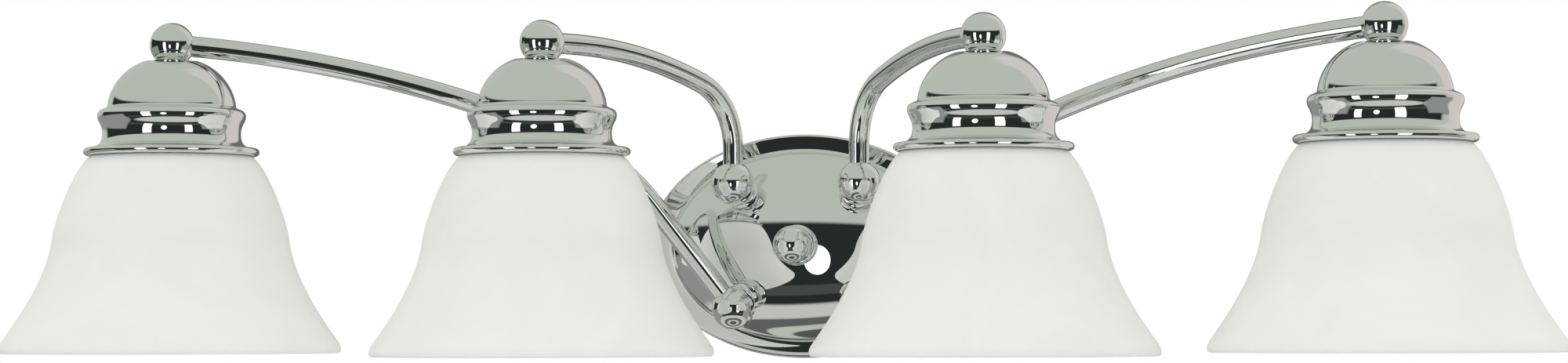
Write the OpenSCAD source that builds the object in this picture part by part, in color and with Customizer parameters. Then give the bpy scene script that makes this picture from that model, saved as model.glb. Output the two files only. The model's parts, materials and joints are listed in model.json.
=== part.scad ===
// Four-light wall bar for a bathroom: an oval canopy on the wall carries four bent tube arms, and
// each arm ends in a ball that holds a domed cap, a lamp holder and a bell-shaped glass shade.
// Millimetres. The origin is the centre of the canopy on the wall plane, y = 0. -Y points into the
// room, +Z is up, and +X is to the right for somebody who faces the wall.
// Lamps are numbered 1 to 4 from left to right. Lamps 1 and 4 are the outer ones.

/* [Layout] */
// Distance from the canopy's centre to the axis of each inner lamp
inner_x = 104.7; // [100:0.1:115]
// Distance from the canopy's centre to the axis of each outer lamp
outer_x = 287.5; // [275:0.1:310]
// Distance from the wall to the lamp axes
lamp_reach = 125; // [115:1:140]
// Height of the outer balls above the canopy's centre
outer_ball_z = 95.9; // [92:0.1:100]
// How much lower the inner balls hang
inner_drop = 1.7; // [0:0.1:3]

/* [Arms] */
// Outer radius of the arm tube
arm_r = 5; // [4.5:0.1:5]
// Wall of the arm tube
arm_wall = 1.3; // [1:0.1:1.5]
// Straight stretch of an outer arm next to its ball
outer_lead_in = 10; // [8:1:20]
// Slope of an outer arm where it leaves its ball
outer_slope = 4.5; // [3:0.1:6]
// Radius of the long upper bend of an outer arm
outer_long_r = 620; // [500:10:700]
// Radius of the lower bend of an outer arm
outer_short_r = 104; // [80:1:120]
// Slope of an outer arm where it reaches the canopy
outer_end_slope = 52; // [50:1:56]
// Radius of the long upper bend of an inner arm
inner_long_r = 240; // [200:5:260]
// Turn of the long upper bend of an inner arm
inner_long_turn = 20; // [16:1:22]
// Radius of the lower bend of an inner arm
inner_short_r = 33; // [28:1:36]

/* [Balls] */
// Radius of the balls at both ends of an arm
ball_r = 10.6; // [10.4:0.1:11]
// Distance from the middle of a ball to the flat that it stands on
ball_flat = 7.4; // [7.2:0.1:7.6]
// Radius of the hollow threaded nipples
nipple_r = 4.85; // [4.8:0.01:4.85]
// Bore of the nipples, for the wires
nipple_bore = 3.3; // [3.2:0.1:3.5]

/* [Canopy] */
// Width of the oval canopy
canopy_w = 157.6; // [150:0.1:165]
// Height of the oval canopy
canopy_h = 111.4; // [108:0.1:116]
// Width of the grooved band round the dome
canopy_band = 8; // [7:0.5:9]
// Depth of the dome's foot, where it rises out of the band
dome_foot = 6.2; // [6:0.1:7]
// Depth of the whole canopy
canopy_depth = 24.5; // [23:0.5:26]
// Sideways place of the four posts on the canopy
post_x = 29.2; // [28:0.1:30]
// Upward and downward place of the four posts
post_z = 26.5; // [26:0.1:27]
// Distance from the canopy's skin to the middle of a post's ball
post_length = 12; // [12:0.1:13]

/* [Cap and shade] */
// Radius of the cap's lip
cap_lip_r = 41.8; // [41:0.1:43]
// Height of the cap from its top to the bottom of its lip
cap_h = 45.4; // [45:0.1:46]
// Thickness of the cap's metal
cap_wall = 1.1; // [1:0.1:1.3]
// Outer radius of the shade at its mouth
shade_mouth_r = 81; // [79:0.1:83]
// Height of the shade
shade_h = 94.6; // [92:0.1:97]
// Thickness of the shade's glass
glass_t = 3.4; // [3:0.1:4]
// Radius of the shade's neck hole
shade_neck_r = 21.2; // [21:0.1:22]

/* [Hidden] */
$fn = 96;
slip = 0.05;                       // radial clearance of screwed and sleeved fits
cut = 1;                           // how far a cutting tool runs past a face

// Canopy: the dome is part of an ellipse turned about the Y axis and then stretched sideways
rim_r = canopy_h / 2;
stretch = canopy_w / canopy_h;
canopy_wall = 1;
canopy_sides = 72;
dome_rings = 14;
rim_h = 6.4;                       // depth of the rim's rounded edge
rim_edge = 1.1;                    // radius of that edge
groove_depth = 5.9;                // depth of the band's groove, between the rim and the dome
dome_edge_r = rim_r - canopy_band - 0.4;
dome_full_r = dome_edge_r + 2.7;   // where the dome's ellipse would stand upright
dome_cut = sqrt(1 - pow(dome_edge_r / dome_full_r, 2));
dome_rise = (canopy_depth - dome_foot) / (1 - dome_cut);
dome_start_r = dome_edge_r - 0.3;  // where the groove's side runs into the dome
dome_start = dome_foot + dome_rise * (sqrt(1 - pow(dome_start_r / dome_full_r, 2)) - dome_cut);

// Lamp heights, measured down from the middle of the ball
seat_h = 0.8;
cap_top = -ball_flat - seat_h;
lip_bottom = cap_top - cap_h;
washer_t = 0.8;
nut_h = 3;
nut_r = 8;                         // across the corners
nipple_top = -2;
nipple_bottom = -19;
holder_top = -15;
holder_r = 19.7;
holder_bottom = -63;
holder_roof = -33.8;               // roof of the space that takes the bulb's cap
contact_z = -36.2;                 // where the bulb's tip touches
bulb_r = 30;
bulb_tip = -145.2;
bulb_neck = -62.5;
ring_h = 4.5;
ring_r = 26;

// Arms
tube_gap = 5.4;                    // the tube stops this far short of the middle of each ball
bore_r = arm_r - arm_wall;
arm_sides = 24;
bend_step = 4;                     // degrees of bend between two rings of a tube

// Wall hardware
bar_l = 104;
bar_t = 2;
bar_w = 17;
slot_r = 2.3;
slot_l = 23.5;
slot_spacing = 79.5;
ground_x = 22;
finial_r = 9.2;
finial_y = -canopy_depth - 16;
finial_ring_t = 3.4;

// Wires
wire_r = 1;
wire_side = 1.15;                  // the two wires of a lamp run this far off the tube's middle
wire_sides = 8;
splice_x = 33.5;                   // open end of the wire nuts
splice_y = -8.2;

BLACK = -1;                        // the black wires meet at the left and the white at the right
WHITE = 1;

LAMPS = [0, 1, 2, 3];
LAMP_NODES = ["lamp_ball", "cap", "shade", "socket", "screw_shell", "shade_ring", "bulb_glass",
              "bulb_base", "arm", "post_ball"];
SHARED_NODES = ["lamp_seats", "lamp_nipples", "lamp_lock_washers", "lamp_lock_nuts",
                "center_contacts", "post_seats", "post_nipples", "post_lock_washers",
                "post_lock_nuts", "canopy", "crossbar", "center_nipple", "nipple_nut",
                "finial_ring", "finial", "ground_screw", "wire_nuts", "black_leads",
                "white_leads"];

// ---- Places -------------------------------------------------------------------------------

function side(i) = i < 2 ? -1 : 1;
function is_outer(i) = i == 0 || i == 3;
function upward(i) = is_outer(i) ? -1 : 1;

// Middle of the ball above a lamp
function lamp_at(i) = [side(i) * (is_outer(i) ? outer_x : inner_x), -lamp_reach,
                       outer_ball_z - (is_outer(i) ? 0 : inner_drop)];

// Depth of the canopy's dome, and the direction that its skin faces
function dome_share(x, z) = norm([x / stretch, z]) / dome_full_r;
function dome_depth(x, z) =
    dome_foot + dome_rise * (sqrt(1 - pow(dome_share(x, z), 2)) - dome_cut);
function dome_facing(x, z) =
    let (k = dome_rise / (dome_full_r * dome_full_r * sqrt(1 - pow(dome_share(x, z), 2))),
         n = [k * x / (stretch * stretch), -1, k * z])
    n / norm(n);

function post_foot(i) = [side(i) * post_x, -dome_depth(post_x, post_z), upward(i) * post_z];
function post_dir(i) = dome_facing(side(i) * post_x, upward(i) * post_z);
function post_at(i) = post_foot(i) + post_length * post_dir(i);

// ---- Arm paths ----------------------------------------------------------------------------
// An arm lies in the upright plane through its lamp axis and its post ball. Its path starts at
// the lamp's ball and is a list of [straight length, bend radius, bend angle], each stretch
// turning downwards. reach and fall are the distances that the path has to cover.

function reach(i) = norm([post_at(i).x - lamp_at(i).x, post_at(i).y - lamp_at(i).y]);
function fall(i) = lamp_at(i).z - post_at(i).z;
function bearing(i) = atan2(post_at(i).y - lamp_at(i).y, post_at(i).x - lamp_at(i).x);
function start_slope(i) = is_outer(i) ? outer_slope : 0;

// Inner arm: level, a long bend, a short bend to upright, and straight down to the post
function inner_path(i) =
    let (t = inner_long_turn,
         level = reach(i) - inner_long_r * sin(t) - inner_short_r * (1 - sin(t)),
         drop = fall(i) - inner_long_r * (1 - cos(t)) - inner_short_r * cos(t))
    [[level, inner_long_r, t], [0, inner_short_r, 90 - t], [drop, 0, 0]];

// Outer arm: the slope between the two bends follows from where the arm has to end
function outer_path(i) =
    let (a0 = outer_slope,
         a2 = outer_end_slope,
         s = reach(i) - outer_lead_in * cos(a0),
         h = fall(i) - outer_lead_in * sin(a0),
         c = (s * sin(a2) - h * cos(a2) + outer_long_r * cos(a2 - a0) - outer_short_r)
             / (outer_long_r - outer_short_r),
         a1 = a2 - acos(c),
         last = (s - outer_long_r * (sin(a1) - sin(a0)) - outer_short_r * (sin(a2) - sin(a1)))
                / cos(a2))
    [[outer_lead_in, outer_long_r, a1 - a0], [0, outer_short_r, a2 - a1], [last, 0, 0]];

function arm_path(i) = is_outer(i) ? outer_path(i) : inner_path(i);

// The point that lies d further along a straight stretch from p = [along, height, slope]
function on_path(p, d) = [p.x + d * cos(p.z), p.y - d * sin(p.z), p.z];

// Points [along, height, slope] along the middle of an arm
function path_points(path, p, k = 0) =
    k == len(path) ? [] :
    let (s = path[k],
         a = p.z,
         q = on_path(p, s[0]),
         steps = max(1, ceil(s[2] / bend_step)),
         bend = [for (j = [1:steps]) let (b = a + s[2] * j / steps)
                 [q.x + s[1] * (sin(b) - sin(a)), q.y - s[1] * (cos(a) - cos(b)), b]])
    s[2] == 0 ? [q] : concat(s[0] > 0 ? [q] : [], bend, path_points(path, bend[steps - 1], k + 1));

// ---- Outlines -----------------------------------------------------------------------------

function arc(cx, cy, r, from, to, steps) =
    [for (j = [0:steps]) let (a = from + (to - from) * j / steps) [cx + r * cos(a), cy + r * sin(a)]];

function curve(p0, p1, p2, p3, steps) =
    [for (j = [1:steps]) let (t = j / steps, u = 1 - t)
     u * u * u * p0 + 3 * t * u * u * p1 + 3 * t * t * u * p2 + t * t * t * p3];

// The same line moved sideways by t, to its right as it runs
function moved(p, t) =
    [for (j = [0:len(p) - 1])
     let (d = p[min(j + 1, len(p) - 1)] - p[max(j - 1, 0)]) p[j] + t * [d.y, -d.x] / norm(d)];

function reversed(p) = [for (j = [len(p) - 1:-1:0]) p[j]];

function unit(v) = v / norm(v);

// ---- Shared shapes ------------------------------------------------------------------------

module turned(points) {
    rotate_extrude() polygon(points);
}

// Turns +Z to point along v
module facing(v) {
    rotate([0, acos(v.z / norm(v)), atan2(v.y, v.x)]) children();
}

module ring(outer, inner, h) {
    difference() {
        cylinder(r = outer, h = h);
        translate([0, 0, -cut]) cylinder(r = inner, h = h + 2 * cut);
    }
}

module hex_nut(h) {
    difference() {
        cylinder(r = nut_r, h = h, $fn = 6);
        translate([0, 0, -cut]) cylinder(r = nipple_r + slip, h = h + 2 * cut);
    }
}

// Round tube or rod along points, with flat ends. Its rings face along the path, and keep one
// side towards the direction across. A bore of 0 makes a solid rod.
module tube(points, across, r, bore, sides) {
    n = len(points);
    hollow = bore > 0;
    along = [for (j = [0:n - 1]) unit(points[min(j + 1, n - 1)] - points[max(j - 1, 0)])];
    function ring_at(j, radius) =
        let (v = unit(cross(along[j], across)), u = cross(v, along[j]))
        [for (k = [0:sides - 1]) let (a = k * 360 / sides)
         points[j] + radius * (cos(a) * u + sin(a) * v)];
    function skin(first, flip) =
        [for (j = [0:n - 2]) for (k = [0:sides - 1])
         let (a = first + j * sides + k, b = first + j * sides + (k + 1) % sides,
              f = [a, b, b + sides, a + sides])
         flip ? reversed(f) : f];
    function end_face(j, flip) =
        hollow
        ? [for (k = [0:sides - 1])
           let (a = j * sides + k, b = j * sides + (k + 1) % sides,
                f = [a, a + n * sides, b + n * sides, b])
           flip ? reversed(f) : f]
        : [let (f = [for (k = [0:sides - 1]) j * sides + k]) flip ? f : reversed(f)];
    outer = [for (j = [0:n - 1]) each ring_at(j, r)];
    inner = hollow ? [for (j = [0:n - 1]) each ring_at(j, bore)] : [];
    polyhedron(concat(outer, inner),
               concat(skin(0, true), hollow ? skin(n * sides, false) : [],
                      end_face(0, true), end_face(n - 1, false)), convexity = 6);
}

// Ball with a flat foot at -Z, a threaded hole up from the foot and a hole for the arm's tube
module drilled_ball(arm_dir) {
    color("silver") difference() {
        sphere(r = ball_r);
        translate([0, 0, -ball_flat - ball_r]) cylinder(r = ball_r, h = ball_r);
        translate([0, 0, -ball_flat - cut]) cylinder(r = nipple_r + slip, h = ball_flat + cut + 3);
        facing(arm_dir) translate([0, 0, -3.5]) cylinder(r = arm_r + slip, h = ball_r + 3.5);
    }
}

// Hollow threaded nipple from z = low to z = high
module nipple(low, high) {
    color("gold") translate([0, 0, low]) ring(nipple_r, nipple_bore, high - low);
}

module at_lamp(i) {
    translate(lamp_at(i)) children();
}

// +Z runs out of the canopy along the post, from its foot on the skin
module at_post(i) {
    translate(post_foot(i)) facing(post_dir(i)) children();
}

// ---- Lamp parts ---------------------------------------------------------------------------

module lamp_ball(i) {
    a = start_slope(i);
    at_lamp(i) drilled_ball([cos(bearing(i)) * cos(a), sin(bearing(i)) * cos(a), -sin(a)]);
}

module lamp_seats() {
    color("silver") for (i = LAMPS) at_lamp(i)
        turned([[nipple_r + 2 * slip, cap_top], [9.6, cap_top], [8.1, -ball_flat],
                [nipple_r + 2 * slip, -ball_flat]]);
}

// Outer skin of the cap from its flat top to the curled lip
cap_skin = concat(
    [[nipple_r + 2 * slip, cap_top]],
    arc(4.5, cap_top - 24.8, 26.3, 70.6, 16, 12),
    curve([29.78, cap_top - 17.55], [30.15, cap_top - 18.85], [30.42, cap_top - 20.26],
          [30.55, cap_top - 21.6], 4),
    curve([30.55, cap_top - 21.6], [30.75, cap_top - 23.3], [35.3, cap_top - 22.6],
          [35.3, cap_top - 26.2], 8),
    curve([35.3, cap_top - 26.2], [35.3, cap_top - 29.2], [32.9, cap_top - 30.2],
          [32.9, cap_top - 34.8], 8),
    curve([32.9, cap_top - 34.8], [32.9, cap_top - 39.2], [34.8, cap_top - 41.6],
          [cap_lip_r - 1.9, lip_bottom + 3.8], 8),
    arc(cap_lip_r - 1.9, lip_bottom + 1.9, 1.9, 67.5, -90, 7),
    [[cap_lip_r - 4.8, lip_bottom]]);

module cap(i) {
    color("silver") at_lamp(i) turned(concat(cap_skin, reversed(moved(cap_skin, cap_wall))));
}

module lamp_nipples() {
    for (i = LAMPS) at_lamp(i) nipple(nipple_bottom, nipple_top);
}

module lamp_lock_washers() {
    color("lightgray") for (i = LAMPS) at_lamp(i)
        translate([0, 0, cap_top - cap_wall - washer_t]) ring(8.5, nipple_r + 2 * slip, washer_t);
}

module lamp_lock_nuts() {
    color("lightgray") for (i = LAMPS) at_lamp(i)
        translate([0, 0, cap_top - cap_wall - washer_t - nut_h]) hex_nut(nut_h);
}

// Outer face of the glass from the edge of the flat top to the mouth, where the flare turns down
shade_end = [shade_mouth_r, lip_bottom - shade_h + glass_t / 2];
flare_end = shade_end + [-2.1, 4.9];
shade_skin = concat(
    [[shade_neck_r, lip_bottom], [38.2, lip_bottom]],
    curve([38.2, lip_bottom], [45.3, lip_bottom - 4.6], [54.8, lip_bottom - 29.6],
          [56.3, lip_bottom - 41], 16),
    curve([56.3, lip_bottom - 41], [58.9, lip_bottom - 60.6], flare_end + [-4.8, 6.9], flare_end, 14),
    curve(flare_end, flare_end + [1.3, -1.85], shade_end + [0, 1.7], shade_end, 4));

module shade(i) {
    inside = moved(shade_skin, glass_t);
    last = len(shade_skin) - 1;
    lip = (shade_skin[last] + inside[last]) / 2;
    out = shade_skin[last] - lip;
    lean = atan2(out.y, out.x);
    color("ivory") at_lamp(i)
        turned(concat(shade_skin, arc(lip.x, lip.y, glass_t / 2, lean - 22.5, lean - 157.5, 6),
                      reversed([for (j = [2:last]) inside[j]]),
                      [[shade_neck_r, lip_bottom - glass_t]]));
}

// Ring that screws onto the lamp holder and presses the glass up against the cap's lip
module shade_ring(i) {
    grips = 18;
    color("silver") at_lamp(i) translate([0, 0, lip_bottom - glass_t - ring_h]) difference() {
        ring(ring_r, holder_r + slip, ring_h);
        for (j = [0:grips - 1]) rotate([0, 0, j * 360 / grips])
            translate([ring_r + 0.6, 0, -cut]) cylinder(r = 1.8, h = ring_h - 1.2 + cut, $fn = 24);
    }
}

module socket(i) {
    color("dimgray") at_lamp(i) turned([
        [nipple_r + slip, holder_top], [8, holder_top], [8, holder_top - 5],
        [12, holder_top - 7], [holder_r, holder_top - 12], [holder_r, holder_bottom],
        [14.6, holder_bottom], [14.6, holder_roof], [3.2, holder_roof], [3.2, holder_roof + 4],
        [10, holder_roof + 4], [10, holder_roof + 9], [3.6, holder_roof + 9],
        [3.6, nipple_bottom - slip], [nipple_r + slip, nipple_bottom - slip]]);
}

// Threaded brass shell that the bulb screws into
module screw_shell(i) {
    color("gold") at_lamp(i) turned([
        [6, holder_roof], [14.55, holder_roof], [14.55, holder_bottom + 1.5],
        [13.95, holder_bottom + 1.5], [13.95, holder_roof - 0.6], [6, holder_roof - 0.6]]);
}

module center_contacts() {
    color("gold") for (i = LAMPS) at_lamp(i) {
        translate([0, 0, contact_z]) cylinder(r = 4, h = 0.6);
        translate([0, 0, contact_z]) cylinder(r = 1.5, h = holder_roof + 5 - contact_z);
    }
}

// The bulb's cap, with a ridge for each turn of its thread
module bulb_base(i) {
    pitch = 3.6;
    turns = 5;
    color("lightgray") at_lamp(i) turned(concat(
        [[0, contact_z], [4.2, contact_z], [6, contact_z - 2.3], [12.4, contact_z - 4]],
        [for (j = [0:turns - 1]) for (p = [[13.1, 0.9], [13.1, 1.7], [12.4, 2.6], [12.4, pitch]])
         [p.x, contact_z - 4 - j * pitch - p.y]],
        [[12.4, bulb_neck], [0, bulb_neck]]));
}

// Glass envelope of the bulb, one millimetre thick
module bulb_glass(i) {
    middle = bulb_tip + bulb_r;
    shoulder = [bulb_r * cos(35), middle + bulb_r * sin(35)];
    skin = concat(arc(0, middle, bulb_r, -90, 35, 25),
                  curve(shoulder, shoulder + [-6.9, 9.8], [13.2, bulb_neck - 15],
                        [13.2, bulb_neck], 10));
    inner = concat(arc(0, middle, bulb_r - 1, -90, 35, 25),
                   curve(shoulder - [0.8, 0.6], shoulder + [-7.7, 9.2], [12.2, bulb_neck - 15],
                         [12.2, bulb_neck], 10));
    color("white") at_lamp(i) turned(concat(skin, reversed(inner)));
}

// ---- Arms and posts -----------------------------------------------------------------------

module arm(i) {
    flat = path_points(arm_path(i), [0, 0, start_slope(i)]);
    first = on_path([0, 0, start_slope(i)], tube_gap);
    last = on_path(flat[len(flat) - 1], -tube_gap);
    flat_points = concat([first], [for (j = [0:len(flat) - 2]) flat[j]], [last]);
    color("silver") translate(lamp_at(i)) rotate([0, 0, bearing(i)])
        tube([for (p = flat_points) [p.x, 0, p.y]], [0, 1, 0], arm_r, bore_r, arm_sides);
}

module post_ball(i) {
    end_slope = is_outer(i) ? outer_end_slope : 90;
    to_arm = [-cos(bearing(i)) * cos(end_slope), -sin(bearing(i)) * cos(end_slope), sin(end_slope)];
    tilt = acos(post_dir(i).z);
    turn = atan2(post_dir(i).y, post_dir(i).x);
    // The same direction, seen from the ball's own upright position
    c = [to_arm.x * cos(turn) + to_arm.y * sin(turn), -to_arm.x * sin(turn) + to_arm.y * cos(turn)];
    local = [c.x * cos(tilt) - to_arm.z * sin(tilt), c.y, c.x * sin(tilt) + to_arm.z * cos(tilt)];
    translate(post_at(i)) facing(post_dir(i)) drilled_ball(local);
}

// Waisted collar between the canopy's skin and a post ball
module post_seats() {
    top = post_length - ball_flat;
    color("silver") for (i = LAMPS) at_post(i)
        turned(concat([[nipple_r + 2 * slip, -0.2], [8.4, -0.2], [8.4, 0.8]],
                      curve([8.4, 0.8], [6.6, 1.6], [6.6, top - 1.2], [7.7, top], 6),
                      [[nipple_r + 2 * slip, top]]));
}

module post_nipples() {
    for (i = LAMPS) at_post(i) nipple(-8, post_length + nipple_top);
}

module post_lock_washers() {
    color("lightgray") for (i = LAMPS) at_post(i)
        translate([0, 0, -canopy_wall - 1.1 - washer_t]) ring(7.6, nipple_r + 2 * slip, washer_t);
}

module post_lock_nuts() {
    color("lightgray") for (i = LAMPS) at_post(i)
        translate([0, 0, -canopy_wall - 1.1 - washer_t - nut_h]) hex_nut(nut_h);
}

// ---- Canopy and wall hardware -------------------------------------------------------------

// Outline of the canopy from the rim to the middle, as [radius, depth]
canopy_skin = concat(
    [[rim_r, 0], [rim_r, rim_h - rim_edge]],
    arc(rim_r - rim_edge, rim_h - rim_edge, rim_edge, 23, 102, 4),
    curve([rim_r - 1.33, rim_h - 0.02], [rim_r - 2.9, rim_h - 0.35], [rim_r - 4.4, groove_depth],
          [rim_r - 6, groove_depth], 5),
    curve([rim_r - 6, groove_depth], [rim_r - 7.9, groove_depth],
          [dome_start_r + 0.33, dome_start - 0.5], [dome_start_r, dome_start], 5),
    [for (j = [1:dome_rings]) let (r = dome_start_r * (1 - pow(j / dome_rings, 1.4)))
     [r, dome_depth(0, r)]]);

// Oval shell between two outlines of as many points, each from the rim to the middle
module oval_shell(outer, inner, sides) {
    n = len(outer);
    function ring_of(p) =
        [for (k = [0:sides - 1]) let (a = k * 360 / sides)
         [stretch * p.x * cos(a), -p.y, p.x * sin(a)]];
    function skin(first, flip) =
        [for (j = [0:n - 2]) for (k = [0:sides - 1])
         let (a = first + j * sides + k, b = first + j * sides + (k + 1) % sides,
              top = first + (n - 1) * sides,
              f = j == n - 2 ? [a, b, top] : [a, b, b + sides, a + sides])
         flip ? reversed(f) : f];
    half = (n - 1) * sides + 1;
    back = [for (k = [0:sides - 1]) let (m = (k + 1) % sides) [k, half + k, half + m, m]];
    polyhedron(concat([for (j = [0:n - 2]) each ring_of(outer[j])], [[0, -outer[n - 1].y, 0]],
                      [for (j = [0:n - 2]) each ring_of(inner[j])], [[0, -inner[n - 1].y, 0]]),
               concat(skin(0, true), skin(half, false), back), convexity = 6);
}

module canopy() {
    inside = [for (p = moved(canopy_skin, -canopy_wall)) [max(0, p.x), max(0, p.y)]];
    color("silver") difference() {
        oval_shell(canopy_skin, inside, canopy_sides);
        for (i = LAMPS) at_post(i)
            translate([0, 0, -6]) cylinder(r = nipple_r + 2 * slip, h = 12);
        rotate([90, 0, 0]) cylinder(r = nipple_r + 2 * slip, h = canopy_depth + cut);
    }
}

// Slotted strap that the wall box's two screws hold
module crossbar() {
    color("lightgray") rotate([90, 0, 0]) difference() {
        translate([-bar_l / 2, -bar_w / 2, 0]) cube([bar_l, bar_w, bar_t]);
        translate([0, 0, -cut]) cylinder(r = nipple_r + slip, h = bar_t + 2 * cut);
        translate([ground_x, 0, -cut]) cylinder(r = 2.15, h = bar_t + 2 * cut);
        for (s = [-1, 1]) translate([s * slot_spacing / 2, 0, -cut]) {
            for (e = [-1, 1]) translate([e * (slot_l / 2 - slot_r), 0, 0])
                cylinder(r = slot_r, h = bar_t + 2 * cut);
            translate([-slot_l / 2 + slot_r, -slot_r, 0])
                cube([slot_l - 2 * slot_r, 2 * slot_r, bar_t + 2 * cut]);
        }
    }
}

module center_nipple() {
    rotate([90, 0, 0]) nipple(0, -finial_y - 3);
}

module nipple_nut() {
    color("lightgray") rotate([90, 0, 0]) translate([0, 0, bar_t]) hex_nut(nut_h);
}

module finial_ring() {
    color("silver") rotate([90, 0, 0]) translate([0, 0, canopy_depth])
        turned(concat([[nipple_r + 2 * slip, 0], [9.6, 0]],
                      arc(8.4, finial_ring_t - 1.7, 1.7, -45, 90, 6),
                      [[nipple_r + 2 * slip, finial_ring_t]]));
}

// Ball nut that screws onto the middle nipple and holds the canopy to the wall
module finial() {
    foot = canopy_depth + finial_ring_t;
    color("silver") rotate([90, 0, 0]) difference() {
        union() {
            translate([0, 0, -finial_y]) sphere(r = finial_r);
            translate([0, 0, foot]) cylinder(r1 = 7.4, r2 = 6.6, h = -finial_y - foot - 5);
        }
        translate([0, 0, foot - cut]) cylinder(r = nipple_r + slip, h = -finial_y - foot - 1);
    }
}

module ground_screw() {
    color("green") rotate([90, 0, 0]) translate([ground_x, 0, 0]) {
        cylinder(r = 2.1, h = bar_t + 1, $fn = 32);
        translate([0, 0, bar_t]) cylinder(r = 4.4, h = 2.6, $fn = 6);
    }
}

// ---- Wires --------------------------------------------------------------------------------

// From the post into the canopy and on to the wire nut of the lead's colour
function inside_run(i, tone) =
    let (s = side(i), v = upward(i))
    s == tone
    ? [[s * 26.5, -8.6, v * 18], [s * 25, -7.6, v * 11], [s * 26.5, -7.2, v * 5],
       [s * 30, -7.1, v * 1.8], [s * splice_x, splice_y + wire_side, v * wire_side],
       [s * (splice_x + 8), splice_y + wire_side, v * wire_side]]
    : [[s * 24, -11, v * 19.5], [s * 18, -12.5 - tone * 1.6, v * 16],
       [s * 9, -12.5 - tone * 1.6, v * 12.5], [-s * 9, -12.5 - tone * 1.6, v * 11.5],
       [-s * 18, -11.5, v * 8.5], [-s * 25, -10.2, v * 4.6], [-s * 30, -9.5, v * 1.8],
       [-s * splice_x, splice_y - wire_side, v * wire_side],
       [-s * (splice_x + 8), splice_y - wire_side, v * wire_side]];

// Whole route of one lead, from the lamp holder to the wire nut
function lead_route(i, tone) =
    let (h = [cos(bearing(i)), sin(bearing(i)), 0],
         off = tone * wire_side * [abs(h.y), side(i) * abs(h.x), 0],
         n = post_dir(i),
         across = tone * wire_side * unit([abs(n.y), side(i) * abs(n.x), 0]),
         in_lamp = [[0, holder_roof + 6], [0, -22], [0, -12], [0, -5], [0.7, -2.5], [2.5, -0.9],
                    [5, -0.4]],
         in_arm = path_points(arm_path(i), [0, 0, start_slope(i)]),
         last = in_arm[len(in_arm) - 1],
         near_post = [last.x - 5 * cos(last.z), last.y + 5 * sin(last.z)],
         flat = concat(in_lamp, [for (j = [0:len(in_arm) - 2]) [in_arm[j].x, in_arm[j].y]],
                       [near_post]))
    concat([for (p = flat) lamp_at(i) + p.x * h + [0, 0, p.y] + off],
           [for (d = [5, -4, -9]) post_foot(i) + d * n + across],
           inside_run(i, tone));

module lead(i, tone) {
    tube(lead_route(i, tone), unit([side(i) * 0.31, 0.9, 0.29]), wire_r, 0, wire_sides);
}

module black_leads() {
    color("black") for (i = LAMPS) lead(i, BLACK);
}

module white_leads() {
    color("white") for (i = LAMPS) lead(i, WHITE);
}

module wire_nuts() {
    color("orangered") for (s = [-1, 1]) translate([s * (splice_x - 2), splice_y, 0])
        rotate([0, s * 90, 0])
            turned([[3.6, 0], [5.6, 0], [5.6, 5], [4, 22], [0, 22], [0, 13], [3.2, 13]]);
}

// ---- Drawing ------------------------------------------------------------------------------

for (i = LAMPS) {
    lamp_ball(i);
    cap(i);
    shade(i);
    socket(i);
    screw_shell(i);
    shade_ring(i);
    bulb_glass(i);
    bulb_base(i);
    arm(i);
    post_ball(i);
}
lamp_seats();
lamp_nipples();
lamp_lock_washers();
lamp_lock_nuts();
center_contacts();
post_seats();
post_nipples();
post_lock_washers();
post_lock_nuts();
canopy();
crossbar();
center_nipple();
nipple_nut();
finial_ring();
finial();
ground_screw();
wire_nuts();
black_leads();
white_leads();
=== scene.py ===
"""Four-light vanity bar in polished chrome with white alabaster-look glass shades.

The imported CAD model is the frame. Everything that a viewer sees gets a smooth piece built here
from the same outline, or keeps its CAD node with a better material. -Y points out of the wall
into the room and +Z is up. The light bar's pieces are worked out in millimetres, as in
part.scad, and skin() turns them into metres. The studio and the camera are given in metres.
"""
import json
import math

import bmesh
import bpy
from mathutils import Matrix, Vector


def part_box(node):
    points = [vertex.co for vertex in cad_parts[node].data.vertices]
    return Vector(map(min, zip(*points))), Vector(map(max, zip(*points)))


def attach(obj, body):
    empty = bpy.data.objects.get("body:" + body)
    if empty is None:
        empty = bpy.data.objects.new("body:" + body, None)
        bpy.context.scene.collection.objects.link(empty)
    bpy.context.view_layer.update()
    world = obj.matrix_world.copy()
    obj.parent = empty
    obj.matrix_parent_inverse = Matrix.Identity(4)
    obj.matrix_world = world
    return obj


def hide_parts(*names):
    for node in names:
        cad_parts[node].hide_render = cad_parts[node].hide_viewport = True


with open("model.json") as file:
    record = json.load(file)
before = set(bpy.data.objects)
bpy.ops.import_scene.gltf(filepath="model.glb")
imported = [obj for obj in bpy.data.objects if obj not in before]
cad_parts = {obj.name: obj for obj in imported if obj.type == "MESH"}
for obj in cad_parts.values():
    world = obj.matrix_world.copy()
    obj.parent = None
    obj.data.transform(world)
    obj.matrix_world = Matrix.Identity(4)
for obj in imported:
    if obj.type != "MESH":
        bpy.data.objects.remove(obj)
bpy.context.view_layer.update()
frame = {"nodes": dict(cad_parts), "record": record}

MM = 0.001
LAMPS = (1, 2, 3, 4)

# ---- Sizes that the frame gives ------------------------------------------------------------


def box(node):
    """Lowest and highest corner of a CAD node in millimetres."""
    low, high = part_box(node)
    return Vector(low) / MM, Vector(high) / MM


canopy_low, canopy_high = box("canopy")
RIM_R = (canopy_high.z - canopy_low.z) / 2
STRETCH = (canopy_high.x - canopy_low.x) / (2 * RIM_R)
CANOPY_DEPTH = -canopy_low.y

# ---- Sizes that follow part.scad -----------------------------------------------------------

BALL_R = 10.6
BALL_FLAT = 7.4
NIPPLE_R = 4.85
SLIP = 0.05
SNUG_HOLE = NIPPLE_R + SLIP
LOOSE_HOLE = NIPPLE_R + 2 * SLIP

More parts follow.
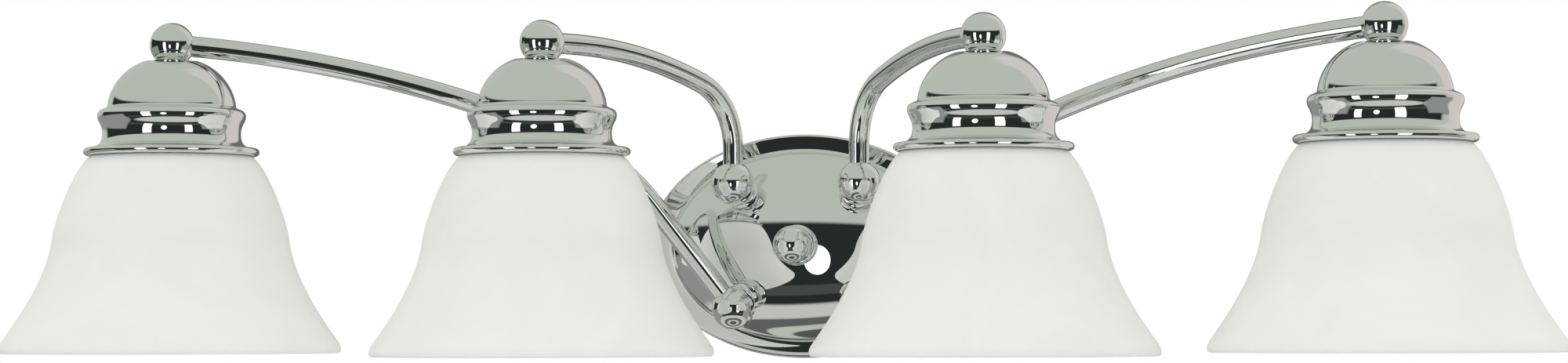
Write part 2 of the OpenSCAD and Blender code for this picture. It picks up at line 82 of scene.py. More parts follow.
ARM_R = 5
ARM_BORE = 3.7
TUBE_GAP = 5.4
OUTER_LEAD_IN = 10
OUTER_SLOPE = 4.5
OUTER_LONG_R = 620
OUTER_SHORT_R = 104
OUTER_END_SLOPE = 52
INNER_LONG_R = 240
INNER_LONG_TURN = 20
INNER_SHORT_R = 33

SEAT_H = 0.8
CAP_WALL = 1.1
CAP_H = 45.4
LIP_R = 41.8
CAP_TOP = -BALL_FLAT - SEAT_H
LIP_BOTTOM = CAP_TOP - CAP_H

GLASS_T = 3.4
SHADE_H = 94.6
MOUTH_R = 81
NECK_R = 21.2
BULB_R = 30
BULB_NECK = -62.5
BULB_TIP = -145.2

CANOPY_WALL = 1
BAND = 8
RIM_H = 6.4
RIM_EDGE = 1.1
GROOVE = 5.9
DOME_FOOT = 6.2
DOME_EDGE = RIM_R - BAND - 0.4
DOME_FULL = DOME_EDGE + 2.7
DOME_CUT = math.sqrt(1 - (DOME_EDGE / DOME_FULL) ** 2)
DOME_RISE = (CANOPY_DEPTH - DOME_FOOT) / (1 - DOME_CUT)

POST_X = 29.2
POST_Z = 26.5
POST_LENGTH = 12
FINIAL_R = 9.2
FINIAL_RING_T = 3.4

# ---- Outlines ------------------------------------------------------------------------------


def arc(cx, cy, r, start, end, steps):
    """Points [across, up] on a circle, from one angle to another in degrees."""
    out = []
    for j in range(steps + 1):
        a = math.radians(start + (end - start) * j / steps)
        out.append(Vector((cx + r * math.cos(a), cy + r * math.sin(a))))
    return out


def curve(p0, p1, p2, p3, steps):
    """Points on a cubic curve after its first point."""
    p0, p1, p2, p3 = (Vector(p) for p in (p0, p1, p2, p3))
    out = []
    for j in range(1, steps + 1):
        t = j / steps
        u = 1 - t
        out.append(u ** 3 * p0 + 3 * t * u * u * p1 + 3 * t * t * u * p2 + t ** 3 * p3)
    return out


def moved(line, by):
    """The line moved sideways, to its right as it runs."""
    out = []
    for j, p in enumerate(line):
        d = line[min(j + 1, len(line) - 1)] - line[max(j - 1, 0)]
        out.append(p + by * Vector((d.y, -d.x)).normalized())
    return out


def turn_angles(sides):
    return [2 * math.pi * k / sides for k in range(sides)]


# ---- Mesh builders -------------------------------------------------------------------------


def smooth(mesh):
    """Smooth shading, with sharp edges where faces meet at more than 40 degrees."""
    mesh.polygons.foreach_set("use_smooth", [True] * len(mesh.polygons))
    mesh.set_sharp_from_angle(angle=math.radians(40))


def piece(name, mesh, material):
    """A smooth object made of the mesh, fixed to the light bar."""
    obj = bpy.data.objects.new(name, mesh)
    bpy.context.scene.collection.objects.link(obj)
    mesh.materials.append(material)
    smooth(mesh)
    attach(obj, "root")
    return obj


def finish_piece(obj, node):
    """Hides the CAD node, so that the object shows in its place."""
    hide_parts(node)


def skin(name, rings, closed):
    """A mesh through rings of equally many points; closed joins the last ring to the first."""
    sides = len(rings[0])
    verts = [p * MM for ring in rings for p in ring]
    faces = []
    last = len(rings) if closed else len(rings) - 1
    for j in range(last):
        a, b = j * sides, (j + 1) % len(rings) * sides
        faces += [(a + k, a + (k + 1) % sides, b + (k + 1) % sides, b + k) for k in range(sides)]
    if not closed:
        faces += [tuple(range(sides - 1, -1, -1)),
                  tuple(range((len(rings) - 1) * sides, len(rings) * sides))]
    mesh = bpy.data.meshes.new(name)
    mesh.from_pydata(verts, [], faces)
    bm = bmesh.new()
    bm.from_mesh(mesh)
    bmesh.ops.remove_doubles(bm, verts=bm.verts, dist=1e-7)
    bmesh.ops.recalc_face_normals(bm, faces=bm.faces)
    bm.to_mesh(mesh)
    bm.free()
    return mesh


def turned_mesh(name, outline, place, sides=144):
    """A closed outline of [radius, height] turned about the local Z of the matrix place."""
    rings = [[place @ Vector((p.x * math.cos(a), p.x * math.sin(a), p.y)) for a in turn_angles(sides)]
             for p in outline]
    return skin(name, rings, True)


def turned(name, outline, place, material, sides=144):
    return piece(name, turned_mesh(name, outline, place, sides), material)


def joined(name, meshes, material):
    """One piece out of several meshes."""
    bm = bmesh.new()
    for mesh in meshes:
        bm.from_mesh(mesh)
        bpy.data.meshes.remove(mesh)
    whole = bpy.data.meshes.new(name)
    bm.to_mesh(whole)
    bm.free()
    return piece(name, whole, material)


def facing(point, direction):
    """A matrix that puts the local Z along direction at point."""
    turn = Vector(direction).to_track_quat("Z", "Y").to_matrix().to_4x4()
    return Matrix.Translation(point) @ turn


def swept(name, points, across, r, bore, material, sides=48):
    """A hollow tube along points; across is a direction that the tube never runs along."""
    outer, inner = [], []
    for j, p in enumerate(points):
        d = (points[min(j + 1, len(points) - 1)] - points[max(j - 1, 0)]).normalized()
        v = d.cross(across).normalized()
        u = v.cross(d)
        for rings, radius in ((outer, r), (inner, bore)):
            rings.append([p + radius * (math.cos(a) * u + math.sin(a) * v) for a in turn_angles(sides)])
    return piece(name, skin(name, outer + inner[::-1], True), material)


def drill(point, direction, r, low, high):
    """A closed cylinder for cutting, along direction from low to high measured from point."""
    place = facing(point, direction)
    rings = [[place @ Vector((r * math.cos(a), r * math.sin(a), h)) for a in turn_angles(48)]
             for h in (low, high)]
    return skin("drill", rings, False)


def cut(obj, tools):
    """Subtracts closed tool meshes from obj and applies the result."""
    for tool in tools:
        holder = bpy.data.objects.new("tool", tool)
        bpy.context.scene.collection.objects.link(holder)
        modifier = obj.modifiers.new("cut", "BOOLEAN")
        modifier.operation = "DIFFERENCE"
        modifier.solver = "EXACT"
        modifier.object = holder
        graph = bpy.context.evaluated_depsgraph_get()
        result = bpy.data.meshes.new_from_object(obj.evaluated_get(graph))
        obj.modifiers.clear()
        obj.data = result
        bpy.data.objects.remove(holder)
    smooth(obj.data)


# ---- Materials -----------------------------------------------------------------------------


class Shader:
    """A Principled material whose node inputs are wired by name."""

    def __init__(self, name, **values):
        self.mat = bpy.data.materials.new(name)
        self.mat.use_nodes = True
        self.tree = self.mat.node_tree
        self.bsdf = self.tree.nodes["Principled BSDF"]
        self.where = self.tree.nodes.new("ShaderNodeTexCoord").outputs["Object"]
        self.set(self.bsdf, **values)

    def set(self, node, **values):
        for key, value in values.items():
            node.inputs[key.replace("_", " ")].default_value = value

    def noise(self, scale, detail, roughness=0.5, distortion=0):
        made = self.tree.nodes.new("ShaderNodeTexNoise")
        self.set(made, Scale=scale, Detail=detail, Roughness=roughness, Distortion=distortion)
        self.tree.links.new(self.where, made.inputs["Vector"])
        return made.outputs["Fac"]

    def ramp(self, source, low, high, target, start, end):
        """Feeds target with a value or colour that runs from low to high as source grows."""
        made = self.tree.nodes.new("ShaderNodeValToRGB")
        ends = made.color_ramp.elements
        ends[0].position, ends[1].position = start, end
        for element, value in zip(ends, (low, high)):
            element.color = (*value, 1) if isinstance(value, tuple) else (value, value, value, 1)
        self.tree.links.new(source, made.inputs["Fac"])
        self.tree.links.new(made.outputs["Color"], self.bsdf.inputs[target])

    def bump(self, source, strength, distance):
        made = self.tree.nodes.new("ShaderNodeBump")
        self.set(made, Strength=strength, Distance=distance)
        self.tree.links.new(source, made.inputs["Height"])
        self.tree.links.new(made.outputs["Normal"], self.bsdf.inputs["Normal"])


def chrome_material():
    s = Shader("polished_chrome", Metallic=1.0)
    s.ramp(s.noise(7, 3), (0.79, 0.805, 0.79), (0.83, 0.84, 0.83), "Base Color", 0.3, 0.7)
    s.ramp(s.noise(26, 5, 0.6), 0.01, 0.028, "Roughness", 0.4, 0.85)
    s.bump(s.noise(45, 1), 0.02, 0.0002)
    return s.mat


def shade_material():
    s = Shader("alabaster_glass", Subsurface_Weight=0.35, Subsurface_Scale=0.006, IOR=1.5)
    s.bsdf.inputs["Subsurface Radius"].default_value = (1.0, 0.95, 0.85)
    cloud_dark, cloud_light = (0.87, 0.885, 0.845), (0.915, 0.92, 0.885)
    s.ramp(s.noise(15, 5, 0.55, 1.6), cloud_dark, cloud_light, "Base Color", 0.35, 0.7)
    s.ramp(s.noise(60, 3), 0.42, 0.6, "Roughness", 0.3, 0.7)
    s.bump(s.noise(220, 4), 0.05, 0.0003)
    return s.mat


def bulb_material():
    s = Shader("frosted_bulb", Subsurface_Weight=0.3, Subsurface_Scale=0.004)
    s.ramp(s.noise(40, 3), (0.87, 0.87, 0.85), (0.91, 0.91, 0.90), "Base Color", 0.3, 0.7)
    s.ramp(s.noise(90, 3), 0.3, 0.42, "Roughness", 0.3, 0.7)
    s.bump(s.noise(500, 3), 0.04, 0.0002)
    return s.mat


def metal_material(name, dark, light, rough, grain):
    s = Shader(name, Metallic=1.0)
    s.ramp(s.noise(30, 5, 0.6), dark, light, "Base Color", 0.3, 0.7)
    s.ramp(s.noise(120, 4, 0.6), *rough, "Roughness", 0.3, 0.75)
    s.bump(s.noise(grain, 4), 0.1, 0.0003)
    return s.mat


def plastic_material(name, dark, light, rough, grain):
    s = Shader(name)
    s.ramp(s.noise(45, 4), dark, light, "Base Color", 0.3, 0.7)
    s.ramp(s.noise(150, 3), *rough, "Roughness", 0.3, 0.7)
    s.bump(s.noise(grain, 3), 0.08, 0.0002)
    return s.mat


CHROME = chrome_material()
# The face of the canopy towards the wall is plated but not polished.
PLATED = metal_material("plated_inside", (0.50, 0.51, 0.50), (0.60, 0.61, 0.60), (0.34, 0.5), 600)
MATERIALS = {
    "chrome": CHROME,
    "shade_glass": shade_material(),
    "bulb_glass": bulb_material(),
    "bulb_cap": metal_material(
        "bulb_cap_aluminium", (0.62, 0.62, 0.61), (0.76, 0.76, 0.75), (0.22, 0.38), 900),
    "brass": metal_material(
        "bare_brass", (0.62, 0.45, 0.19), (0.78, 0.60, 0.30), (0.22, 0.4), 800),
    "zinc_steel": metal_material(
        "zinc_plated_steel", (0.50, 0.52, 0.54), (0.66, 0.67, 0.68), (0.3, 0.5), 700),
    "holder_phenolic": plastic_material(
        "moulded_phenolic", (0.018, 0.016, 0.014), (0.045, 0.038, 0.032), (0.4, 0.55), 1200),
    "green_paint": plastic_material(
        "green_screw_finish", (0.02, 0.20, 0.08), (0.04, 0.28, 0.12), (0.25, 0.4), 900),
    "nut_plastic": plastic_material(
        "wire_nut_plastic", (0.62, 0.13, 0.03), (0.74, 0.18, 0.05), (0.3, 0.45), 900),
    "black_insulation": plastic_material(
        "black_insulation", (0.012, 0.012, 0.012), (0.03, 0.03, 0.03), (0.35, 0.5), 1500),
    "white_insulation": plastic_material(
        "white_insulation", (0.70, 0.70, 0.66), (0.80, 0.80, 0.77), (0.35, 0.5), 1500),
}

for row in frame["record"]["subparts"]:
    node = frame["nodes"][row["node"]]
    node.data.materials.clear()
    node.data.materials.append(MATERIALS[row["material_slot"]])

# ---- Lamps and posts -----------------------------------------------------------------------


def is_outer(i):
    return i in (1, 4)


def ball_at(i):
    """Middle of the ball above lamp i, over the middle of its cap."""
    low, high = box(f"cap_{i}")
    middle = (low + high) / 2
    return Vector((middle.x, middle.y, box(f"lamp_ball_{i}")[1].z - BALL_R))


def lamp_frame(i):
    """A lamp's heights are measured from the middle of its ball."""
    return Matrix.Translation(ball_at(i))


def dome_share(x, z):
    """0 in the middle of the dome and 1 where its ellipse would stand upright."""
    return math.hypot(x / STRETCH, z) / DOME_FULL


def dome_depth(x, z):
    return DOME_FOOT + DOME_RISE * (math.sqrt(1 - dome_share(x, z) ** 2) - DOME_CUT)


def dome_facing(x, z):
    k = DOME_RISE / (DOME_FULL ** 2 * math.sqrt(1 - dome_share(x, z) ** 2))
    return Vector((k * x / STRETCH ** 2, -1, k * z)).normalized()


def post_foot(i):
    """Where post i stands on the dome, and the direction it points in."""
    x = -POST_X if i < 3 else POST_X
    z = -POST_Z if is_outer(i) else POST_Z
    return Vector((x, -dome_depth(x, z), z)), dome_facing(x, z)


# ---- Arm paths -----------------------------------------------------------------------------
# An arm lies in the upright plane through its lamp axis and its post ball.


class ArmPath:
    """Points along the middle of an arm from its lamp's ball to its post's ball."""

    def __init__(self, i):
        self.start = ball_at(i)
        foot, self.post_direction = post_foot(i)
        self.end = foot + POST_LENGTH * self.post_direction
        level = Vector((self.end.x - self.start.x, self.end.y - self.start.y, 0))
        self.reach, self.fall = level.length, self.start.z - self.end.z
        self.level = level.normalized()
        self.across = self.level.cross(Vector((0, 0, 1)))
        first_slope = OUTER_SLOPE if is_outer(i) else 0
        self.along, self.down, self.slope = 0, 0, first_slope
        self.points = [self.start]
        if is_outer(i):
            self.outer()
        else:
            self.inner()
        # The tube stops short of the middle of each ball.
        self.points[0] = self.ahead(TUBE_GAP, first_slope, 0, 0)
        self.points[-1] = self.ahead(-TUBE_GAP, self.slope, self.along, self.down)

    def place(self, along, down):
        return self.start + along * self.level - Vector((0, 0, down))

    def ahead(self, distance, slope, along, down):
        """The point that lies distance further down a slope in degrees."""
        a = math.radians(slope)
        return self.place(along + distance * math.cos(a), down + distance * math.sin(a))

    def straight(self, length):
        a = math.radians(self.slope)
        self.along += length * math.cos(a)
        self.down += length * math.sin(a)
        self.points.append(self.place(self.along, self.down))

    def bend(self, r, angle, step):
        """A downward bend by angle with a point about every step degrees."""
        steps = math.ceil(angle / step)
        a = math.radians(self.slope)
        for j in range(1, steps + 1):
            b = a + math.radians(angle) * j / steps
            x = self.along + r * (math.sin(b) - math.sin(a))
            y = self.down + r * (math.cos(a) - math.cos(b))
            self.points.append(self.place(x, y))
        self.along, self.down, self.slope = x, y, self.slope + angle

    def inner(self):
        long_r, short_r = INNER_LONG_R, INNER_SHORT_R
        t = math.radians(INNER_LONG_TURN)
        self.straight(self.reach - long_r * math.sin(t) - short_r * (1 - math.sin(t)))
        self.bend(long_r, INNER_LONG_TURN, 1)
        self.bend(short_r, 90 - INNER_LONG_TURN, 2)
        self.straight(self.fall - long_r * (1 - math.cos(t)) - short_r * math.cos(t))

    def outer(self):
        """The long bend ends at slope a1, where the rest just reaches the post's ball."""
        long_r, short_r = OUTER_LONG_R, OUTER_SHORT_R
        a0, a2 = math.radians(OUTER_SLOPE), math.radians(OUTER_END_SLOPE)
        s = self.reach - OUTER_LEAD_IN * math.cos(a0)
        h = self.fall - OUTER_LEAD_IN * math.sin(a0)
        c = ((s * math.sin(a2) - h * math.cos(a2) + long_r * math.cos(a2 - a0) - short_r)
             / (long_r - short_r))
        a1 = a2 - math.acos(c)
        bends = long_r * (math.sin(a1) - math.sin(a0)) + short_r * (math.sin(a2) - math.sin(a1))
        self.straight(OUTER_LEAD_IN)
        self.bend(long_r, math.degrees(a1 - a0), 0.5)
        self.bend(short_r, math.degrees(a2 - a1), 1)
        self.straight((s - bends) / math.cos(a2))


# ---- Arms, balls and caps ------------------------------------------------------------------


def drilled_ball(name, place, arm_direction):
    """Ball with a flat foot, a hole up from the foot and a hole for the arm."""
    foot_r = math.sqrt(BALL_R ** 2 - BALL_FLAT ** 2)
    foot_angle = -math.degrees(math.asin(BALL_FLAT / BALL_R))
    hole_top, bevel = 3, 0.2
    outline = [Vector((0, hole_top)), Vector((SNUG_HOLE, hole_top)), Vector((SNUG_HOLE, -BALL_FLAT)),
               Vector((foot_r - bevel, -BALL_FLAT))]
    outline += arc(0, 0, BALL_R, foot_angle + 0.6, 90, 72)
    ball = turned(name, outline, place, CHROME)
    cut(ball, [drill(place.translation, arm_direction, ARM_R + SLIP, -3.5, BALL_R + 4)])
    return ball


def cap_outline():
    """Dome, bead, waist and curled lip of a cap."""
    flat_r, curl_r = 7.4, 1.9
    lip_top = (LIP_R - curl_r, 2 * curl_r - CAP_H)
    outside = [Vector((LOOSE_HOLE, CAP_TOP)), Vector((flat_r, CAP_TOP))]
    outside += arc(4.5, CAP_TOP - 24.8, 26.3, 70.6, 16, 48)
    # Each curve is given with its heights from the top of the cap.
    for corners in (
        ((29.78, -17.55), (30.15, -18.85), (30.42, -20.26), (30.55, -21.6)),
        ((30.55, -21.6), (30.75, -23.3), (35.3, -22.6), (35.3, -26.2)),
        ((35.3, -26.2), (35.3, -29.2), (32.9, -30.2), (32.9, -34.8)),
        ((32.9, -34.8), (32.9, -39.2), (34.8, -41.6), lip_top),
    ):
        outside += curve(*[(x, CAP_TOP + y) for x, y in corners], 24)
    outside += arc(LIP_R - curl_r, LIP_BOTTOM + curl_r, curl_r, 67.5, -90, 24)
    outside += [Vector((LIP_R - 4.8, LIP_BOTTOM))]
    return outside + moved(outside, CAP_WALL)[::-1]


for i in LAMPS:
    path = ArmPath(i)
    first = (path.points[1] - path.points[0]).normalized()
    last = (path.points[-2] - path.points[-1]).normalized()
    tube = swept(f"arm_{i}_tube", path.points, path.across, ARM_R, ARM_BORE, CHROME)
    finish_piece(tube, f"arm_{i}")
    lamp_ball = drilled_ball(f"lamp_ball_{i}_smooth", lamp_frame(i), first)
    finish_piece(lamp_ball, f"lamp_ball_{i}")
    post_frame = facing(path.end, path.post_direction)
    post_ball = drilled_ball(f"post_ball_{i}_smooth", post_frame, last)
    finish_piece(post_ball, f"post_ball_{i}")
    cap = turned(f"cap_{i}_spun", cap_outline(), lamp_frame(i), CHROME)
    finish_piece(cap, f"cap_{i}")

# ---- Seats ---------------------------------------------------------------------------------


def lamp_seat_outline():
    """A low ring between the flat of a ball and the top of its cap."""
    low, high = CAP_TOP, -BALL_FLAT
    return [Vector(p) for p in ((LOOSE_HOLE, low), (9.45, low), (9.6, low + 0.1),
                                (8.2, high - 0.05), (8.1, high), (LOOSE_HOLE, high))]


def post_seat_outline():
    """A waisted ring between the canopy and the flat of a post's ball."""
    foot_r, top_r, waist_r = 8.4, 7.7, 6.6
    sunk, top = -0.2, POST_LENGTH - BALL_FLAT
    foot = (8.3, 0.8)
    line = [Vector(p) for p in ((LOOSE_HOLE, sunk), (foot_r, sunk), (foot_r, 0.7), foot)]
    line += curve(foot, (waist_r, 1.6), (waist_r, top - 1.2), (top_r, top), 24)
    return line + [Vector((LOOSE_HOLE, top))]


lamp_seats = [turned_mesh(f"seat_{i}", lamp_seat_outline(), lamp_frame(i)) for i in LAMPS]
finish_piece(joined("lamp_seats_smooth", lamp_seats, CHROME), "lamp_seats")
post_seats = [turned_mesh(f"post_seat_{i}", post_seat_outline(), facing(*post_foot(i))) for i in LAMPS]
finish_piece(joined("post_seats_smooth", post_seats, CHROME), "post_seats")

# ---- Canopy --------------------------------------------------------------------------------


def canopy_line():
    """The outside of the canopy, from the wall over rim and groove to the middle of the dome."""
    start_r = DOME_EDGE - 0.3
    start = dome_depth(0, start_r)
    dome_rings, crowding = 64, 1.4
    groove = (RIM_R - 6, GROOVE)
    line = [Vector((RIM_R, 0)), Vector((RIM_R, RIM_H - RIM_EDGE))]
    line += arc(RIM_R - RIM_EDGE, RIM_H - RIM_EDGE, RIM_EDGE, 4, 102, 20)
    line += curve((RIM_R - 1.33, RIM_H - 0.02), (RIM_R - 2.9, RIM_H - 0.35), (RIM_R - 4.4, GROOVE),
                  groove, 20)
    line += curve(groove, (RIM_R - 7.9, GROOVE), (start_r + 0.33, start - 0.5), (start_r, start), 20)
    for j in range(1, dome_rings + 1):
        r = start_r * (1 - (j / dome_rings) ** crowding)
        line.append(Vector((r, dome_depth(0, r))))
    return line


def pressed_canopy():
    """The canopy's shell, with a dull face towards the wall and its five holes."""
    outside = canopy_line()
    inside = [Vector((max(0, p.x), max(0, p.y))) for p in moved(outside, -CANOPY_WALL)]
    rings = [[Vector((STRETCH * p.x * math.cos(a), -p.y, p.x * math.sin(a))) for a in turn_angles(288)]
             for p in outside + inside[::-1]]
    canopy = piece("canopy_pressed", skin("canopy_pressed", rings, True), CHROME)
    canopy.data.materials.append(PLATED)
    upright = 0.05
    for face in canopy.data.polygons:
        outward = face.normal.dot((face.center.x / STRETCH ** 2, 0, face.center.z))
        if face.normal.y > upright or (face.normal.y > -upright and outward < 0):
            face.material_index = 1
    tools = [drill(*post_foot(i), LOOSE_HOLE, -6, 6) for i in LAMPS]
    tools.append(drill(Vector((0, 0, 0)), (0, -1, 0), LOOSE_HOLE, 10, 40))
    cut(canopy, tools)
    return canopy


finish_piece(pressed_canopy(), "canopy")

# ---- Finial --------------------------------------------------------------------------------
# Heights in these two outlines run out of the wall.


def finial_ring_outline():
    bulge_r, top = 1.7, CANOPY_DEPTH + FINIAL_RING_T
    line = [Vector((LOOSE_HOLE, CANOPY_DEPTH)), Vector((9.5, CANOPY_DEPTH)),
            Vector((9.6, CANOPY_DEPTH + 0.1))]
    line += arc(8.4, top - bulge_r, bulge_r, -45, 90, 24)
    return line + [Vector((LOOSE_HOLE, top))]


def finial_outline():
    """A ball on a short waisted foot, with a hole for the centre nipple."""
    middle = -box("finial")[0].y - FINIAL_R
    hole_top, foot = middle - 6, CANOPY_DEPTH + FINIAL_RING_T
    foot_r, neck_r = 7.4, 6.5
    neck = middle - math.sqrt(FINIAL_R ** 2 - neck_r ** 2)
    line = [Vector((0, hole_top)), Vector((SNUG_HOLE, hole_top)), Vector((SNUG_HOLE, foot)),
            Vector((foot_r - 0.1, foot)), Vector((foot_r, foot + 0.1))]
    line += curve((foot_r, foot + 0.1), (7.0, foot + 1.4), (6.6, neck - 0.8), (neck_r, neck), 12)
    return line + arc(0, middle, FINIAL_R, -44, 90, 72)


out_of_wall = facing(Vector((0, 0, 0)), (0, -1, 0))
finial_ring = turned("finial_ring_smooth", finial_ring_outline(), out_of_wall, CHROME)
finish_piece(finial_ring, "finial_ring")
finish_piece(turned("finial_smooth", finial_outline(), out_of_wall, CHROME), "finial")

# ---- Shades and bulbs ----------------------------------------------------------------------


def shade_outline():
    """Neck, bell and flared mouth of a shade."""
    top = LIP_BOTTOM
    mouth = Vector((MOUTH_R, top - SHADE_H + GLASS_T / 2))
    flare_end = mouth + Vector((-2.1, 4.9))
    shoulder, flank = (38.2, top - 0.1), (56.3, top - 41)
    outside = [Vector((NECK_R, top)), Vector((37.4, top)), Vector(shoulder)]
    outside += curve(shoulder, (45.3, top - 4.6), (54.8, top - 29.6), flank, 48)
    outside += curve(flank, (58.9, top - 60.6), flare_end + Vector((-4.8, 6.9)), flare_end, 56)
    outside += curve(flare_end, flare_end + Vector((1.3, -1.85)), mouth + Vector((0, 1.7)), mouth, 12)
    inside = moved(outside, GLASS_T)
    edge = (outside[-1] + inside[-1]) / 2
    lean = math.degrees(math.atan2(*(outside[-1] - edge).yx))
    rounded_edge = arc(edge.x, edge.y, GLASS_T / 2, lean - 8, lean - 172, 32)
    # Inside, the roof runs level from the neck to below the shoulder.
    return outside + rounded_edge + inside[:2:-1] + [Vector((NECK_R, top - GLASS_T))]


def bulb_outline():
    """A round bulb's hollow glass, which hangs from its open neck."""
    glass, neck_r, turn = 1, 13.2, 35
    middle = BULB_TIP + BULB_R
    shoulder = Vector((0, middle)) + BULB_R * Vector((math.cos(math.radians(turn)),
                                                      math.sin(math.radians(turn))))
    outside = arc(0, middle, BULB_R, -90, turn, 72)
    outside += curve(shoulder, shoulder + Vector((-6.9, 9.8)), (neck_r, BULB_NECK - 15),
                     (neck_r, BULB_NECK), 36)
    inside = arc(0, middle, BULB_R - glass, -90, turn, 48)
    inside += curve(shoulder - Vector((0.8, 0.6)), shoulder + Vector((-7.7, 9.2)),
                    (neck_r - glass, BULB_NECK - 15), (neck_r - glass, BULB_NECK), 24)
    return outside + inside[::-1]


for i in LAMPS:
    shade = turned(f"shade_{i}_glass", shade_outline(), lamp_frame(i), MATERIALS["shade_glass"], 192)
    finish_piece(shade, f"shade_{i}")
    bulb = turned(f"bulb_{i}_frosted", bulb_outline(), lamp_frame(i), MATERIALS["bulb_glass"])
    finish_piece(bulb, f"bulb_glass_{i}")

# ---- Studio --------------------------------------------------------------------------------


def studio_world():
    """White for the camera, an even soft light for matt surfaces, and a lit studio for gloss."""
    world = bpy.data.worlds.new("studio")
    bpy.context.scene.world = world
    world.use_nodes = True
    tree = world.node_tree
    tree.nodes.clear()

    def value(socket_or_number, target):
        if isinstance(socket_or_number, (int, float)):
            target.default_value = socket_or_number
        else:
            tree.links.new(socket_or_number, target)

    def maths(operation, *inputs):
        made = tree.nodes.new("ShaderNodeMath")
        made.operation = operation
        for k, item in enumerate(inputs):
            value(item, made.inputs[k])
        return made.outputs["Value"]

    def both(first, second):
        return maths("MULTIPLY", first, second)

    def outside(area):
        return maths("SUBTRACT", 1, area)

    def ramp(source, start, end):
        """0 at start and 1 at end, smoothly."""
        made = tree.nodes.new("ShaderNodeMapRange")
        made.interpolation_type = "SMOOTHSTEP"
        value(source, made.inputs["Value"])
        made.inputs["From Min"].default_value = start
        made.inputs["From Max"].default_value = end
        return made.outputs["Result"]

    def between(source, low, high, soft):
        """1 between low and high, with soft edges."""
        past_high = ramp(source, high - soft, high + soft)
        return both(ramp(source, low - soft, low + soft), outside(past_high))

    def colour(fac, first, second):
        """The first colour where fac is 0 and the second where it is 1."""
        made = tree.nodes.new("ShaderNodeMix")
        made.data_type = "RGBA"
        value(fac, made.inputs["Factor"])
        for key, item in (("A", first), ("B", second)):
            socket = next(x for x in made.inputs if x.name == key and x.type == "RGBA")
            if isinstance(item, tuple):
                socket.default_value = (*item, 1)
            else:
                tree.links.new(item, socket)
        return next(x for x in made.outputs if x.type == "RGBA")

    where = tree.nodes.new("ShaderNodeTexCoord").outputs["Generated"]
    split = tree.nodes.new("ShaderNodeSeparateXYZ")
    tree.links.new(where, split.inputs[0])
    x, y, z = split.outputs
    # Azimuth 0 looks out of the wall and grows to the right; both are in degrees.
    deg = 180 / math.pi
    azimuth = maths("MULTIPLY", maths("ARCTAN2", x, maths("MULTIPLY", y, -1)), deg)
    clamped_z = maths("MINIMUM", maths("MAXIMUM", z, -1), 1)
    elevation = maths("MULTIPLY", maths("ARCSINE", clamped_z), deg)

    white, even_light = (1.0, 1.0, 1.0), (0.925, 0.925, 0.92)
    grey, black, pink = (0.545, 0.583, 0.52), (0.022, 0.028, 0.026), (0.70, 0.665, 0.635)

    # Level bands round the floor of the studio
    room = colour(between(elevation, -55, -42, 1), grey, (0.62, 0.62, 0.60))
    room = colour(between(elevation, -68, -57, 1), room, (0.13, 0.135, 0.13))
    room = colour(between(elevation, -95, -77, 1), room, (0.10, 0.105, 0.10))
    # The dark front of the studio, between dim sides, with a slightly lighter stripe across
    front_dark = both(between(azimuth, -62, 72, 3), between(elevation, -41, 0, 1.5))
    room = colour(both(between(elevation, -41, 0, 3), outside(front_dark)), room, (0.30, 0.31, 0.30))
    room = colour(front_dark, room, black)
    room = colour(both(front_dark, between(elevation, -33, -25, 1)), room, (0.07, 0.075, 0.07))
    # A dark strip at eye level, a warm panel behind on the right, and gloom straight behind
    horizon = both(between(azimuth, -115, 100, 5), between(elevation, -5, 16, 1.5))
    room = colour(horizon, room, black)
    room = colour(both(between(azimuth, 118, 165, 3), between(elevation, -30, 70, 10)), room, pink)
    behind = both(outside(between(azimuth, -158, 168, 6)), between(elevation, -40, 40, 8))
    room = colour(behind, room, (0.16, 0.16, 0.16))

    rays = tree.nodes.new("ShaderNodeLightPath").outputs
    seen = colour(rays["Is Glossy Ray"], even_light, room)
    seen = colour(rays["Is Camera Ray"], seen, white)
    background = tree.nodes.new("ShaderNodeBackground")
    tree.links.new(seen, background.inputs["Color"])
    output = tree.nodes.new("ShaderNodeOutputWorld")
    tree.links.new(background.outputs[0], output.inputs["Surface"])


def soft_light(name, place, aim, size, glow, shape="RECTANGLE"):
    """A flat lamp of the given width, height and brightness that the camera doesn't see."""
    data = bpy.data.lights.new(name, "AREA")
    data.shape = shape
    data.size, data.size_y = size
    data.energy = glow * math.pi * size[0] * size[1]
    light = bpy.data.objects.new(name, data)
    bpy.context.scene.collection.objects.link(light)
    light.location = place
    light.rotation_euler = (Vector(aim) - Vector(place)).to_track_quat("-Z", "Y").to_euler()
    light.visible_camera = False
    return light


def strip(name, place, aim, size, shape="RECTANGLE"):
    """A lamp that shows as a white window in the chrome and doesn't light matt surfaces."""
    light = soft_light(name, place, aim, size, 1.35, shape)
    light.visible_diffuse = False


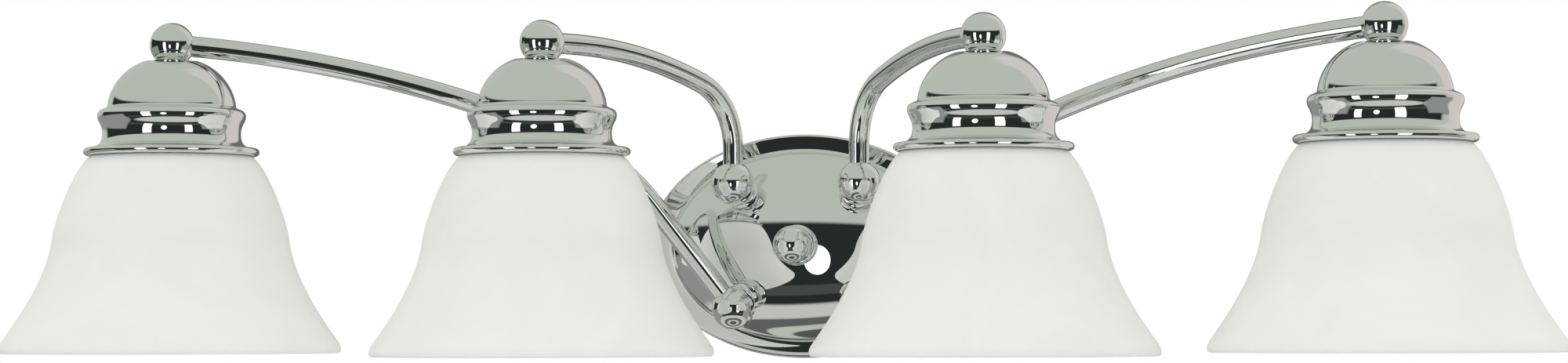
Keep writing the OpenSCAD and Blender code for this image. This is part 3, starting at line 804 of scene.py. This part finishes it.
def pale_floor():
    """A wide floor far below, which stays out of the reflections."""
    half, height = 90, -9.5
    corners = [(x * half, y * half, height) for x, y in ((-1, -1), (1, -1), (1, 1), (-1, 1))]
    mesh = bpy.data.meshes.new("floor")
    mesh.from_pydata(corners, [], [(0, 1, 2, 3)])
    floor = bpy.data.objects.new("floor", mesh)
    bpy.context.scene.collection.objects.link(floor)
    s = Shader("pale_floor", Roughness=0.8)
    s.ramp(s.noise(3, 4), (0.86, 0.865, 0.86), (0.89, 0.89, 0.885), "Base Color", 0.3, 0.7)
    mesh.materials.append(s.mat)
    floor.visible_glossy = False


studio_world()
strip("strip_left", (-0.69, -1.175, -0.175), (0, -0.125, -0.175), (0.31, 0.9))
strip("strip_middle", (-0.09, -1.725, -0.26), (-0.09, -0.125, -0.26), (0.28, 0.6), "ELLIPSE")
strip("strip_right", (0.67, -0.995, -0.165), (0, -0.125, -0.165), (0.30, 0.8))
fill = soft_light("fill", (0.4, -2.6, 1.2), (0, -0.1, 0), (2.2, 1.6), 0.2)
fill.visible_glossy = False
pale_floor()

# ---- Camera --------------------------------------------------------------------------------


def aimed_camera(place, yaw, pitch, roll, lens):
    """A camera at place; at zero angles, in radians, it looks level and straight at the wall."""
    data = bpy.data.cameras.new("camera")
    data.sensor_width = 36
    data.lens = lens
    data.clip_start, data.clip_end = 0.05, 100
    camera = bpy.data.objects.new("camera", data)
    bpy.context.scene.collection.objects.link(camera)
    right = Vector((math.cos(yaw), math.sin(yaw), 0))
    ahead = Vector((-math.sin(yaw), math.cos(yaw), 0))
    forward = math.cos(pitch) * ahead + math.sin(pitch) * Vector((0, 0, 1))
    up = right.cross(forward)
    right, up = (math.cos(roll) * right + math.sin(roll) * up,
                 math.cos(roll) * up - math.sin(roll) * right)
    turn = Matrix((right, up, -forward)).transposed().to_4x4()
    camera.matrix_world = Matrix.Translation(place) @ turn
    return camera


bpy.context.scene.camera = aimed_camera((0.29994, -1.76039, -0.04129), 0.1748, 0.0413, -0.0023, 81.97)
bpy.context.scene.view_settings.view_transform = "Standard"
